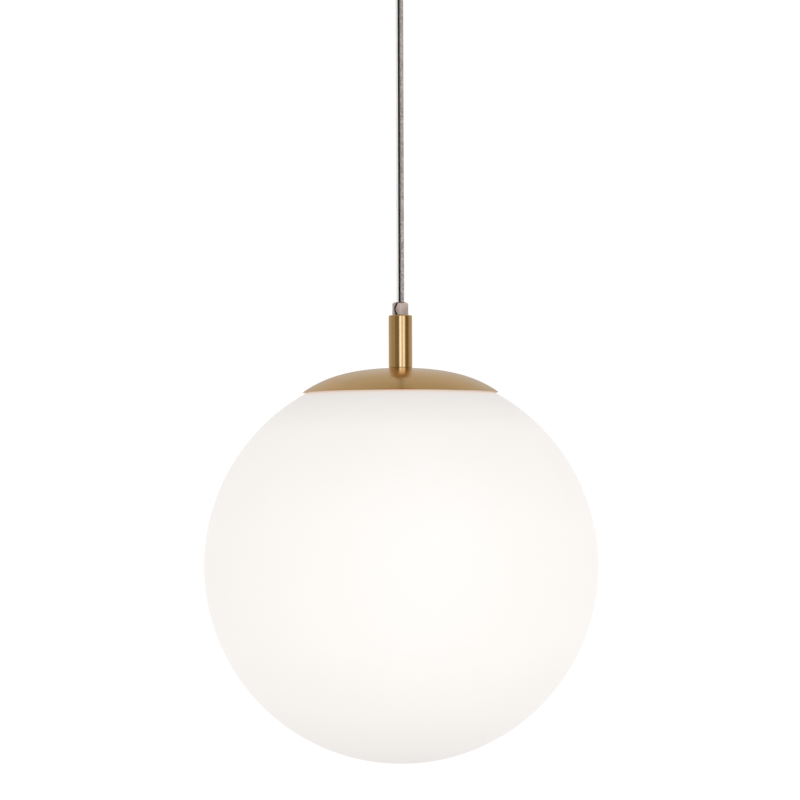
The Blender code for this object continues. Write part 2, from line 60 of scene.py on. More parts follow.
def extent(node, level=0.0):
    """(radius, foot, top) of a CAD node in millimetres, with heights from a level in metres."""
    low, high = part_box(node)
    return (high[0] - low[0]) / 2 / MM, (low[2] - level) / MM, (high[2] - level) / MM


GLOBE_RADIUS, globe_foot, _ = extent("globe")
LAMP = (globe_foot + GLOBE_RADIUS) * MM
PIVOT = next(joint for joint in frame["joints"] if joint["name"] == "swing_side")["pos_m"][2]
LEVEL = {"ceiling": 0.0, "gland_seal": PIVOT, "cord": PIVOT,
         "lamp": LAMP, "globe": LAMP, "bulb": LAMP, "bulb_tip": LAMP}


def placed(name, data):
    """A new object in the scene."""
    made = bpy.data.objects.new(name, data)
    bpy.context.scene.collection.objects.link(made)
    return made


# ---------------- camera

CAMERA_DISTANCE = 2.854
CAMERA_ABOVE = 0.043            # over the globe's centre
CAMERA_PITCH, CAMERA_ROLL, CAMERA_YAW = 1.672, -0.20, 0.010
FOCAL_LENGTH, SENSOR = 168.6, 36.0

lens = bpy.data.cameras.new("camera")
lens.lens, lens.sensor_width = FOCAL_LENGTH, SENSOR
camera = placed("camera", lens)
camera.location = (0.0, -CAMERA_DISTANCE, LAMP + CAMERA_ABOVE)
camera.rotation_mode = "YXZ"
camera.rotation_euler = [math.radians(a) for a in (90.0 + CAMERA_PITCH, 0.0, CAMERA_YAW)]
camera.rotation_euler.rotate_axis("Z", math.radians(CAMERA_ROLL))
bpy.context.scene.camera = camera


# ---------------- materials

FINISH = {}


class Surface:
    """A Principled material, kept in FINISH, and the nodes that vary it over a piece."""

    def __init__(self, name, colour, roughness, **sockets):
        self.material = FINISH[name] = bpy.data.materials.new(name)
        self.material.use_nodes = True
        self.tree = self.material.node_tree
        self.shader = self.tree.nodes["Principled BSDF"]
        self.shader.inputs["Base Color"].default_value = (*colour, 1.0)
        self.shader.inputs["Roughness"].default_value = roughness
        for socket, value in sockets.items():
            self.shader.inputs[socket.replace("_", " ")].default_value = value
        self.colour, self.height = colour, None

    def node(self, kind, *inputs, **values):
        """A node of a kind, whose inputs, in order or by name, take values or other nodes' outputs."""
        made = self.tree.nodes.new(f"ShaderNode{kind}")
        for key, value in (*enumerate(inputs), *values.items()):
            socket = key if isinstance(key, int) else key.replace("_", " ")
            if isinstance(key, str) and socket not in made.inputs:
                setattr(made, key, value)
            elif isinstance(value, bpy.types.NodeSocket):
                self.tree.links.new(value, made.inputs[socket])
            else:
                made.inputs[socket].default_value = value
        return made

    def feed(self, socket, out):
        """Links a node's output to a socket of the shader."""
        self.tree.links.new(out, self.shader.inputs[socket])

    def place(self):
        """Each point's place on the piece, in metres."""
        return self.node("TexCoord").outputs["Object"]

    def split_place(self):
        """The X, Y and Z of each point's place."""
        return self.node("SeparateXYZ", self.place()).outputs

    def round_axis(self):
        """(radius, angle, height): fine marks that depend on these run round a turned piece."""
        x, y, z = self.split_place()
        flat = self.node("CombineXYZ", X=x, Y=y)
        radius = self.node("VectorMath", flat.outputs[0], operation="LENGTH").outputs["Value"]
        angle = self.node("Math", y, x, operation="ARCTAN2").outputs[0]
        return self.node("CombineXYZ", X=radius, Y=angle, Z=z).outputs[0]

    def noise(self, scale, detail=3.0, place=None, roughness=0.5):
        return self.node("TexNoise", Vector=place or self.place(), Scale=scale, Detail=detail,
                         Roughness=roughness).outputs["Fac"]

    def between(self, factor, low, high, start=0.3, end=0.7):
        return self.node("MapRange", Value=factor, From_Min=start, From_Max=end, To_Min=low,
                         To_Max=high).outputs["Result"]

    def ramp(self, factor, *stops):
        made = self.node("ValToRGB", factor)
        elements = made.color_ramp.elements
        while len(elements) < len(stops):
            elements.new(0.5)
        for element, (position, colour) in zip(elements, stops):
            element.position, element.color = position, (*colour, 1.0)
        return made.outputs["Color"]

    def shade(self, factor, dark, light, start=0.3, end=0.7):
        """The base colour, from a darker to a lighter share of it as factor rises."""
        low = [c * dark for c in self.colour]
        high = [min(1.0, c * light) for c in self.colour]
        self.feed("Base Color", self.ramp(factor, (start, low), (end, high)))

    def polish(self, factor, low, high):
        self.feed("Roughness", self.between(factor, low, high))

    def glow(self, colour, strength):
        self.shader.inputs["Emission Color"].default_value = (*colour, 1.0)
        self.feed("Emission Strength", strength)

    def bump(self, factor, depth):
        """A relief of this depth in millimetres, on top of any before it."""
        under = {"Normal": self.height} if self.height else {}
        made = self.node("Bump", Strength=1.0, Distance=depth * MM, Height=factor, **under)
        self.height = made.outputs["Normal"]
        self.feed("Normal", self.height)


def moulded(name, colour, roughness, grain=900.0, depth=0.01, spread=0.06, **sockets):
    """Moulded plastic, rubber or ceramic: a slight mottle, an uneven gloss and a fine grain."""
    made = Surface(name, colour, roughness, **sockets)
    made.shade(made.noise(60.0), 1.0 - spread, 1.0 + spread)
    made.polish(made.noise(180.0), roughness * 0.85, roughness * 1.2)
    made.bump(made.noise(grain, 4.0), depth)


def turned_metal(name, colour, roughness, lines=0.0035, stain=0.05, grit=1.0, **sockets):
    """Metal finished on a lathe: fine rings round the axis, soft stains and a few finger marks."""
    made = Surface(name, colour, roughness, Metallic=1.0, **sockets)
    rings = made.node("Mapping", Vector=made.round_axis(), Scale=(1.0, 0.0004, 1.0))
    fine = made.noise(14000.0 * grit, 2.0, rings.outputs["Vector"], 0.6)
    cloud = made.noise(28.0, 4.0)
    made.shade(cloud, 1.0 - stain, 1.0 + stain)
    mixed = made.node("Math", fine, 0.45, made.between(cloud, 0.1, 0.45), operation="MULTIPLY_ADD")
    made.polish(mixed.outputs[0], roughness * 0.8, roughness * 1.25)
    made.bump(fine, lines)


def plated_steel():
    """Zinc-plated steel: a bright grey with a faint blue and straw bloom and a fine spangle."""
    made = Surface("zinc_steel", (0.62, 0.63, 0.64), 0.3, Metallic=1.0)
    made.feed("Base Color", made.ramp(made.noise(45.0), (0.3, (0.56, 0.60, 0.66)),
                                      (0.52, (0.64, 0.645, 0.65)), (0.72, (0.67, 0.64, 0.56))))
    made.polish(made.noise(420.0, 4.0), 0.2, 0.42)
    made.bump(made.noise(2600.0), 0.004)


def opal_glass():
    """Satin-etched opal glass with painted light from within: a glow brightest level with the bulb, dimmer
    at the neck, and a painted shadow just under the cap's rim.
    """
    made = Surface("opal_glass", (0.80, 0.775, 0.755), 0.5, Specular_IOR_Level=0.3, Emission_Strength=1.0)
    made.shade(made.noise(18.0), 0.985, 1.01)
    made.polish(made.noise(260.0, 4.0), 0.44, 0.58)
    made.bump(made.noise(3200.0, 4.0), 0.006)
    made.bump(made.noise(22.0, 2.0), 0.05)
    level = made.between(made.split_place()["Z"], 0.0, 1.0, -GLOBE_RADIUS * MM, GLOBE_RADIUS * MM)
    # Painted light and shade by height: the bulb's glow through the glass fades towards the neck and dips
    # sharply where the cap's rim shades the glass.
    levels = ((0.0, 0.465), (0.05, 0.515), (0.15, 0.565), (0.3, 0.59), (0.6, 0.58), (0.84, 0.54),
              (0.905, 0.465), (0.939, 0.43), (0.943, 0.14), (0.948, 0.30))
    glow = made.ramp(level, *((at, (share, 0.963 * share, 0.935 * share)) for at, share in levels))
    made.feed("Emission Color", glow)


def braid_metal():
    """The silvery taupe yarn of the braid: a metallic thread with a fine lengthwise fibre."""
    made = Surface("braid", (0.93, 0.79, 0.775), 0.38, Metallic=0.85, Specular_IOR_Level=0.6)
    made.shade(made.noise(650.0, 4.0), 0.58, 1.2, 0.36, 0.64)
    made.polish(made.noise(1500.0), 0.26, 0.5)
    made.bump(made.noise(9000.0), 0.02)


def clear_plastic(name, colour, roughness):
    """Clear PVC: gloss with faint ripples and scuffs."""
    made = Surface(name, colour, roughness, IOR=1.47, Transmission_Weight=1.0)
    made.shade(made.noise(160.0), 0.97, 1.0)
    made.polish(made.noise(600.0, 4.0), roughness * 0.7, roughness * 1.5)
    made.bump(made.noise(240.0, 2.0), 0.015)


def striped_wire():
    """Green insulation with a yellow stripe that winds round it."""
    green, yellow = (0.07, 0.32, 0.09), (0.75, 0.62, 0.06)
    made = Surface("green_wire", green, 0.4)
    wave = made.node("TexWave", made.place(), Scale=90.0, bands_direction="DIAGONAL")
    made.feed("Base Color", made.ramp(wave.outputs["Fac"], (0.66, green), (0.72, yellow)))
    made.polish(made.noise(500.0), 0.32, 0.5)
    made.bump(made.noise(2500.0), 0.008)


def glowing(name, colour, roughness, glow):
    """Opal plastic or phosphor with light coming through it."""
    made = Surface(name, colour, roughness, Emission_Strength=glow)
    made.shader.inputs["Emission Color"].default_value = (*colour, 1.0)
    made.shade(made.noise(50.0), 0.97, 1.02)
    made.polish(made.noise(400.0), roughness * 0.85, roughness * 1.15)
    made.bump(made.noise(1800.0), 0.006)


BRASS_COLOUR = (0.78, 0.49, 0.20)
turned_metal("satin_brass", BRASS_COLOUR, 0.21, Anisotropic=0.45)
turned_metal("stem_brass", BRASS_COLOUR, 0.10, Anisotropic=0.3)
turned_metal("contact_brass", (0.80, 0.60, 0.27), 0.22, stain=0.12)
plated_steel()
turned_metal("spring_steel", (0.50, 0.50, 0.51), 0.26, grit=0.4)
turned_metal("nickel", (0.63, 0.615, 0.58), 0.2, stain=0.08)
turned_metal("solder", (0.58, 0.58, 0.57), 0.32, grit=0.3, stain=0.15)
turned_metal("copper", (0.78, 0.36, 0.20), 0.28, stain=0.15)
moulded("green_steel", (0.05, 0.28, 0.09), 0.32, Metallic=0.7)
opal_glass()
moulded("porcelain", (0.83, 0.82, 0.77), 0.16, grain=300.0, depth=0.03, Coat_Weight=0.6)
clear_plastic("grip_plastic", (0.93, 0.91, 0.89), 0.06)
moulded("grip_sleeve", (0.63, 0.50, 0.44), 0.5, grain=1500.0, depth=0.03, spread=0.2)
clear_plastic("jacket", (0.79, 0.76, 0.71), 0.035)
braid_metal()
moulded("cord_filler", (0.16, 0.13, 0.12), 0.6)
moulded("black_core", (0.010, 0.007, 0.005), 0.6, grain=1500.0, Specular_IOR_Level=0.1)
turned_metal("washer_bronze", (0.56, 0.36, 0.14), 0.22)
moulded("black_rubber", (0.022, 0.021, 0.02), 0.62, grain=1400.0, depth=0.03)
moulded("silicone", (0.78, 0.78, 0.75), 0.5, Subsurface_Weight=0.1)
moulded("brown_wire", (0.16, 0.065, 0.03), 0.38)
moulded("blue_wire", (0.02, 0.12, 0.42), 0.38)
striped_wire()
moulded("nut_plastic", (0.72, 0.27, 0.03), 0.42, grain=1200.0, depth=0.02)
moulded("bulb_plastic", (0.80, 0.80, 0.785), 0.36)
moulded("black_glass", (0.012, 0.012, 0.016), 0.08, grain=200.0, depth=0.02)
moulded("led_board", (0.82, 0.82, 0.80), 0.34, grain=700.0)
glowing("phosphor", (0.95, 0.72, 0.18), 0.45, 0.7)
glowing("diffuser", (0.93, 0.91, 0.86), 0.42, 0.55)


# ---------------- mesh tools

def polar(radius, degrees):
    return radius * math.cos(math.radians(degrees)), radius * math.sin(math.radians(degrees))


def arc(radius, start, end, count, centre=(0.0, 0.0)):
    """Points of (radius, height) on an arc, at angles in degrees up from the horizontal."""
    steps = [start + (end - start) * i / count for i in range(count + 1)]
    return [(centre[0] + x, centre[1] + z) for x, z in (polar(radius, a) for a in steps)]


def rounded(points, ring=False, steps=4):
    """An outline of (x, y) or (x, y, fillet), with an arc of its fillet's radius at each corner."""
    count, outline = len(points), []
    for i, point in enumerate(points):
        here = Vector(point[:2])
        fillet = point[2] if len(point) > 2 else 0.0
        if not fillet or (not ring and i in (0, count - 1)):
            outline.append(tuple(here))
            continue
        back = (Vector(points[i - 1][:2]) - here).normalized()
        ahead = (Vector(points[(i + 1) % count][:2]) - here).normalized()
        half = back.angle(ahead) / 2
        middle = here + (back + ahead).normalized() * (fillet / math.sin(half))
        start = here + back * (fillet / math.tan(half)) - middle
        end = here + ahead * (fillet / math.tan(half)) - middle
        turn = math.atan2(start.x * end.y - start.y * end.x, start.dot(end))
        for k in range(steps + 1):
            a = turn * k / steps
            outline.append((middle.x + start.x * math.cos(a) - start.y * math.sin(a),
                            middle.y + start.x * math.sin(a) + start.y * math.cos(a)))
    return outline


def mesh_of(name, points, faces):
    data = bpy.data.meshes.new(name)
    data.from_pydata([Vector(p) * MM for p in points], [], faces)
    data.update()
    return data


def piece(name, data, finish, body, node=None, place=(0, 0), turn=(0, 0, 0), sharp=35.0, level=None):
    """A piece on the lamp's axis, at its body's level: it rides on the body and may stand for a node."""
    made = placed(name, data)
    made.location = (place[0] * MM, place[1] * MM, LEVEL[body] if level is None else level)
    made.rotation_euler = [math.radians(a) for a in turn]
    data.materials.clear()
    data.materials.append(FINISH[finish])
    data.shade_smooth()
    data.set_sharp_from_angle(angle=math.radians(sharp))
    made.modifiers.new("normals", "WEIGHTED_NORMAL").keep_sharp = True
    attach(made, body)
    if node:
        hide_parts(node)
    return made


def lathe(name, profile, steps=64, ring=False, shape=None):
    """A turned mesh. The profile runs down the outer side; shape(radius, height, angle) may carve it."""
    points, faces, rows = [], [], []
    for radius, height in profile:
        first = len(points)
        if radius < 1e-6:
            points.append((0.0, 0.0, height))
            rows.append([first] * steps)
            continue
        for i in range(steps):
            angle = TAU * i / steps
            r = shape(radius, height, angle) if shape else radius
            points.append((r * math.cos(angle), r * math.sin(angle), height))
        rows.append(list(range(first, first + steps)))
    for upper, lower in zip(rows, rows[1:] + rows[:1] * ring):
        for i in range(steps):
            j = (i + 1) % steps
            faces.append(tuple(dict.fromkeys((upper[i], lower[i], lower[j], upper[j]))))
    return mesh_of(name, points, faces)


def outward(data, weld=False):
    """The mesh with its faces turned outward, and with its caps welded on if asked."""
    shape = bmesh.new()
    shape.from_mesh(data)
    if weld:
        bmesh.ops.remove_doubles(shape, verts=shape.verts, dist=0.000002)
    bmesh.ops.recalc_face_normals(shape, faces=shape.faces)
    shape.to_mesh(data)
    shape.free()
    return data


def loft(sections, first=0):
    """Points and faces of a capped skin over rings of points, numbered from first."""
    count = len(sections[0])
    rings = [first + count * k for k in range(len(sections))]
    faces = [(a + i, a + (i + 1) % count, b + (i + 1) % count, b + i)
             for a, b in zip(rings, rings[1:]) for i in range(count)]
    faces += [tuple(range(first, first + count))[::-1], tuple(range(rings[-1], rings[-1] + count))]
    return [point for section in sections for point in section], faces


def threaded(depth, pitch, low, high, across=0.0, soft=False):
    """Cuts a right-hand thread between two heights, in what lies outside the radius across."""
    def carve(radius, height, angle):
        if radius < across or not low <= height <= high:
            return radius
        turn = (height / pitch - angle / TAU) % 1.0
        wave = 0.5 - 0.5 * math.cos(TAU * turn) if soft else abs(2.0 * turn - 1.0)
        run_out = min(1.0, (height - low) / pitch, (high - height) / pitch)
        return radius - depth * wave * run_out
    return carve


def fine_span(radius, top, foot, step):
    """Points close enough together down a wall for a thread to show in it."""
    count = max(2, round(abs(top - foot) / step))
    return [(radius, top + (foot - top) * i / count) for i in range(count + 1)]


def hexagonal(flats, bore):
    def carve(radius, height, angle):
        if radius <= bore + 0.01:
            return radius
        side = (angle + TAU / 12) % (TAU / 6) - TAU / 12
        return min(radius, flats / 2 / math.cos(side))
    return carve


def knurled(count, depth, low, high, across=0.0):
    def carve(radius, height, angle):
        if radius < across or not low <= height <= high:
            return radius
        return radius - depth * (0.5 - 0.5 * math.cos(count * angle)) ** 0.6
    return carve


def final_mesh(made, *others):
    """The mesh of an object with its modifiers applied; the object and the others are removed."""
    bpy.context.view_layer.update()
    graph = bpy.context.evaluated_depsgraph_get()
    data = bpy.data.meshes.new_from_object(made.evaluated_get(graph))
    for old in (made, *others):
        bpy.data.objects.remove(old)
    return data


def cut(data, cutters, operation="DIFFERENCE"):
    """The mesh less each cutter mesh, or joined with each for a union."""
    target = placed("cut", data)
    tools = [placed("tool", cutter) for cutter in cutters]
    for tool in tools:
        step = target.modifiers.new("cut", "BOOLEAN")
        step.operation, step.solver, step.object = operation, "EXACT", tool
    return final_mesh(target, *tools)


def circle(radius, at=(0.0, 0.0), sides=48):
    return [(at[0] + x, at[1] + y) for x, y in (polar(radius, 360 * i / sides) for i in range(sides))]


def stadium(length, width, at=(0.0, 0.0), sides=12):
    reach = (length - width) / 2
    return [point for side, start in ((1, -90), (-1, 90))
            for point in arc(width / 2, start, start + 180, sides, (at[0] + side * reach, at[1]))]


def rod(radius, top, foot, at=(0.0, 0.0), sides=48):
    points = [(*place, z) for z in (top, foot) for place in circle(radius, at, sides)]
    faces = [tuple(range(sides)), tuple(range(2 * sides - 1, sides - 1, -1))]
    faces += [(i, sides + i, sides + (i + 1) % sides, (i + 1) % sides) for i in range(sides)]
    return mesh_of("rod", points, faces)


def spline_of(curve, route):
    """A new line of the curve, through places in millimetres."""
    spline = curve.splines.new("POLY")
    spline.points.add(len(route) - 1)
    for point, place in zip(spline.points, route):
        point.co = (*(Vector(place) * MM), 1.0)
    return spline


def plate(outlines, thickness, edge=0.2):
    """Sheet metal from one outline and its holes, in millimetres, with softened edges."""
    curve = bpy.data.curves.new("plate", "CURVE")
    curve.dimensions = "2D"
    curve.fill_mode = "BOTH"
    curve.extrude = (thickness / 2 - edge) * MM
    curve.bevel_depth = edge * MM
    curve.bevel_resolution = 2
    curve.offset = -edge * MM
    for outline in outlines:
        spline_of(curve, [(x, y, 0.0) for x, y in outline]).use_cyclic_u = True
    return outward(final_mesh(placed("curve", curve)), weld=True)


def smooth_route(points, per_span=10):
    """Points on one smooth curve through the route's own points."""
    points = [Vector(p) for p in points]
    ends = [2 * points[0] - points[1], *points, 2 * points[-1] - points[-2]]
    route = []
    for before, here, there, after in zip(ends, ends[1:], ends[2:], ends[3:]):
        for i in range(per_span):
            t = i / per_span
            route.append(0.5 * (2 * here + (there - before) * t
                                + (2 * before - 5 * here + 4 * there - after) * t**2
                                + (3 * here - before - 3 * there + after) * t**3))
    return route + points[-1:]


def tube(route, radius, sides=12):
    """A round wire along a route in millimetres, with filled ends."""
    curve = bpy.data.curves.new("tube", "CURVE")
    curve.dimensions = "3D"
    spline_of(curve, route)
    curve.bevel_depth = radius * MM
    curve.bevel_resolution = sides // 2 - 2
    curve.use_fill_caps = True
    return outward(final_mesh(placed("curve", curve)), weld=True)


def refined(profile, step):
    """The profile with more points along its long straight runs."""
    fine = [profile[0]]
    for start, end in zip(profile, profile[1:]):
        count = max(1, math.ceil(math.dist(start, end) / step))
        fine += [(start[0] + (end[0] - start[0]) * i / count, start[1] + (end[1] - start[1]) * i / count)
                 for i in range(1, count + 1)]
    return fine


# ---------------- shared shapes

HOLE = 5.3                      # for the M10 lamp thread
LEADS = (("live", 1, "brown_wire"), ("neutral", -1, "blue_wire"))
COARSE, FINE, SMOOTH = 36, 72, 144
CORD_RADIUS = extent("cord")[0]
BRAID_RADIUS, BRAID_AT = 1.00, 1.30      # the screened wire, and how far it lies off the axis
BLACK_RADIUS, BLACK_AT = 0.60, -0.34     # the black wire beside it


def turned(name, profile, finish, body, node=None, steps=FINE, ring=False, shape=None, **more):
    return piece(name, lathe(name, profile, steps, ring, shape), finish, body, node, **more)


def block(size, middle, turn=0.0):
    """A box of a size about a middle, turned about the upright."""
    c, s = polar(0.5, turn)
    ends = [[(middle[0] + x * size[0] * c - y * size[1] * s, middle[1] + x * size[0] * s + y * size[1] * c,
              middle[2] + z * size[2] / 2) for x, y in ((-1, -1), (1, -1), (1, 1), (-1, 1))]
            for z in (-1, 1)]
    return mesh_of("block", *loft(ends))


def screw(name, head_radius, head, shank_radius, tip, pitch, finish, body, node, at, head_up=False,
          cross=True):
    """A pan-head screw with a cross recess and a rolled thread."""
    low, high = head
    near, far = (low, high) if head_up else (high, low)       # the head's seat and its crown
    out = 1.0 if head_up else -1.0
    thickness = high - low
    inset = min(0.5, 0.4 * thickness)
    shank = fine_span(shank_radius, near, tip, pitch / 5)
    profile = [(0.0, far), (head_radius * 0.45, far - out * 0.06)]
    profile += rounded([profile[-1], (head_radius * 0.86, far - out * 0.22, 0.3),
                        (head_radius, near + out * inset, 0.2), (head_radius, near, 0.1),
                        (shank_radius, near)], steps=3)[1:-1]
    profile += shank + [(0.0, tip)]
    if not head_up:
        profile.reverse()
    thread = threaded(0.3 * pitch ** 0.5 * shank_radius / 2.4, pitch, min(near, tip) + 0.1,
                      max(near, tip) - 0.1)
    data = lathe(name, profile, COARSE, shape=lambda r, z, a: thread(r, z, a) if r <= shank_radius else r)
    depth = 0.55 * thickness
    width = 0.26 * head_radius
    slots = [block((1.2 * head_radius, width, 2 * depth), (0, 0, far))]
    if cross:
        slots.append(block((width, 1.2 * head_radius, 2 * depth), (0, 0, far)))
    return piece(name, cut(data, slots), finish, body, node, at)


def hex_nut(name, node, flats, bore, body, pitch=1.0):
    """A hexagonal nut with chamfered corners and a thread in its bore."""
    _, foot, top = extent(node, LEVEL[body])
    corner = flats / math.sqrt(3.0)
    inside = fine_span(bore, foot + 0.5, top - 0.5, pitch / 4)
    profile = [(bore + 0.5, top), (flats / 2 - 0.5, top), (flats / 2 - 0.1, top - 0.08),
               (corner, top - 0.75), (corner, foot + 0.75), (flats / 2 - 0.1, foot + 0.08),
               (flats / 2 - 0.5, foot), (bore + 0.5, foot)] + inside
    flat = hexagonal(flats, bore + 0.6)
    thread = threaded(0.25, pitch, foot + 0.3, top - 0.3)
    turned(name, profile, "zinc_steel", body, node, FINE, True,
           lambda r, z, a: flat(r, z, a) if r > bore + 0.01 else bore + 0.25 - thread(0.25, z, a))


def ribbon(name, path, width, thickness, fillet=0.25):
    """Sheet metal bent along a path of (radius, height), with softened long edges."""
    path = [Vector(p) for p in path]
    half, side = thickness / 2, width / 2
    soft = min(fillet, half * 0.9)
    corner = ((0.0, soft), (0.3 * soft, 0.3 * soft), (soft, 0.0))     # in from the two faces that meet
    sections = []
    for i, here in enumerate(path):
        along = (path[min(i + 1, len(path) - 1)] - path[max(i - 1, 0)]).normalized()
        normal = Vector((-along.y, along.x))
        sections.append([])
        for right, up, order in ((-1, -1, 1), (1, -1, -1), (1, 1, 1), (-1, 1, -1)):
            for inward, lift in corner[::order]:
                flat = here + normal * up * (half - lift)
                sections[-1].append((flat.x, right * (side - inward), flat.y))
    return outward(mesh_of(name, *loft(sections)))


def lead(name, route, radius, finish, body, node, bare_from=None):
    """An insulated wire, whose end from one of the route's points on may be bare copper."""
    spans = 8
    line = smooth_route(route, spans)
    split = len(line) if bare_from is None else bare_from * spans + 1
    piece(name, tube(line[:split], radius), finish, body, node)
    if bare_from:
        piece(f"{name}_copper", tube(line[split - 3:], radius * 0.78), "copper", body)


# ---------------- cord

def wires(name, top, foot, body):
    """What shows in the clear jacket: a wire screened by a woven braid, and a black wire beside it.

    The braid is two sets of flat yarns that cross over and under each other.
    """
    along, carriers = 12.0, 8
    per_turn = 40
    turns = (top - foot) / along
    steps = round(per_turn * turns)
    width, thickness, weave = 0.5 * TAU * BRAID_RADIUS / carriers, 0.09, 0.06
    points, faces = [], []
    for direction, carrier in itertools.product((1, -1), range(carriers)):
        sections = []
        for i in range(steps + 1):
            share = i / steps
            angle = direction * TAU * turns * share + TAU * carrier / carriers
            lift = weave * direction * math.sin(carriers * TAU * turns * share)
            sections.append([])
            for across, rise in ((-0.5, -0.3), (-0.28, 0.5), (0.28, 0.5), (0.5, -0.3)):
                r = BRAID_RADIUS - 0.1 + lift + rise * thickness
                a = angle + across * width / BRAID_RADIUS
                sections[-1].append((r * math.cos(a), r * math.sin(a), top + (foot - top) * share))
        yarn = loft(sections, len(points))
        points += yarn[0]
        faces += yarn[1]
    braid = piece(f"{name}_braid", outward(mesh_of(name, points, faces)), "braid", body,
                  place=(BRAID_AT, 0.0), sharp=60.0)
    cores = [turned(f"{name}_{kind}", [(0.0, top), (radius, top), (radius, foot), (0.0, foot)], finish,
                    body, None, COARSE, place=(at, 0.0))
             for kind, radius, finish, at in (("screened", BRAID_RADIUS - 0.2, "cord_filler", BRAID_AT),
                                              ("black", BLACK_RADIUS, "black_core", BLACK_AT))]
    return braid, *cores


def jacket(name, top, foot, body, node):
    """The clear jacket: a solid rod of clear plastic that holds the wires."""
    profile = rounded([(0.0, top), (CORD_RADIUS, top, 0.25), (CORD_RADIUS, foot, 0.25), (0.0, foot)])
    half = len(profile) // 2
    high, low = profile[half - 1][1], profile[half][1]
    wall = fine_span(CORD_RADIUS, high, low, (high - low) / 20)[1:-1]
    return turned(name, profile[:half] + wall + profile[half:], "jacket", body, node, COARSE)


def make_cord():
    _, foot, top = extent("cord", PIVOT)
    clear = jacket("cord_jacket", top, foot, "cord", "cord")
    inner = wires("cord", top - 0.3, foot + 0.3, "cord")


make_cord()


# ---------------- ceiling fixing

BAR_HALF, BAR = 58.0, 2.5             # half its length, and its thickness
STUD_AT, STUD_RADIUS = 50.0, 2.0
GROUND_AT = 15.0
CANOPY_RADIUS, CANOPY_FOOT, CANOPY_RIM = extent("canopy")


def make_bracket():
    corners = [(BAR_HALF, -10, 4), (BAR_HALF, 10, 4), (-BAR_HALF, 10, 4), (-BAR_HALF, -10, 4)]
    outlines = [rounded(corners, True, 6)]
    for side in (-1, 1):
        outlines += [stadium(16.0, 4.8, (35.0 * side, 0.0)), circle(2.3, (STUD_AT * side, 0.0))]
    data = plate(outlines + [circle(2.1, (GROUND_AT, 0.0))], BAR)
    piece("ceiling_bar", data, "zinc_steel", "ceiling", "ceiling_bracket", level=-BAR / 2 * MM)


def make_canopy():
    wall, corner, hole = 1.2, 6.0, 7.6
    foot, rim = CANOPY_FOOT, CANOPY_RIM
    outline = rounded([
        (CANOPY_RADIUS - wall, rim, 0.4), (CANOPY_RADIUS, rim, 0.4), (CANOPY_RADIUS, foot, corner),
        (hole, foot, 0.3), (hole, foot + wall, 0.3), (CANOPY_RADIUS - wall, foot + wall, corner - wall),
    ], True, 10)
    holes = [rod(2.6, foot + 6, foot - 4, (side * STUD_AT, 0.0)) for side in (-1, 1)]
    piece("canopy_cup", cut(lathe("cup", outline, SMOOTH, True), holes), "satin_brass", "ceiling", "canopy")


def make_studs():
    """The canopy's studs, and the knurled blind nuts that hold it to the bracket."""
    for name, side in (("left", -1), ("right", 1)):
        at = (side * STUD_AT, 0.0)
        stud, nut = f"canopy_stud_{name}", f"cap_nut_{name}"
        _, foot, top = extent(stud)
        rows = fine_span(STUD_RADIUS, top - 0.4, foot + 0.4, 0.14)
        profile = [(0.0, top), (STUD_RADIUS - 0.4, top)] + rows + [(STUD_RADIUS - 0.4, foot), (0.0, foot)]
        turned(f"stud_{name}", profile, "zinc_steel", "ceiling", stud, 24, place=at,
               shape=threaded(0.3, 0.7, foot + 0.3, top - 0.3, 1.9))
        _, low, high = extent(nut)
        bore = STUD_RADIUS + 0.3
        outline = [(0.0, foot - 0.3), (bore, foot - 0.3)] + rounded([
            (bore, foot - 0.3), (bore, high, 0.2), (4.5, high, 0.4), (4.5, high - 4.2, 0.4),
            (3.9, high - 4.4, 0.1), (3.9, high - 5.0, 1.2), (2.4, low + 0.1, 1.2), (0.0, low),
        ])[1:]
        turned(f"thumb_nut_{name}", outline, "satin_brass", "ceiling", nut, 120, place=at,
               shape=knurled(30, 0.22, high - 3.9, high - 0.5, 4.4))


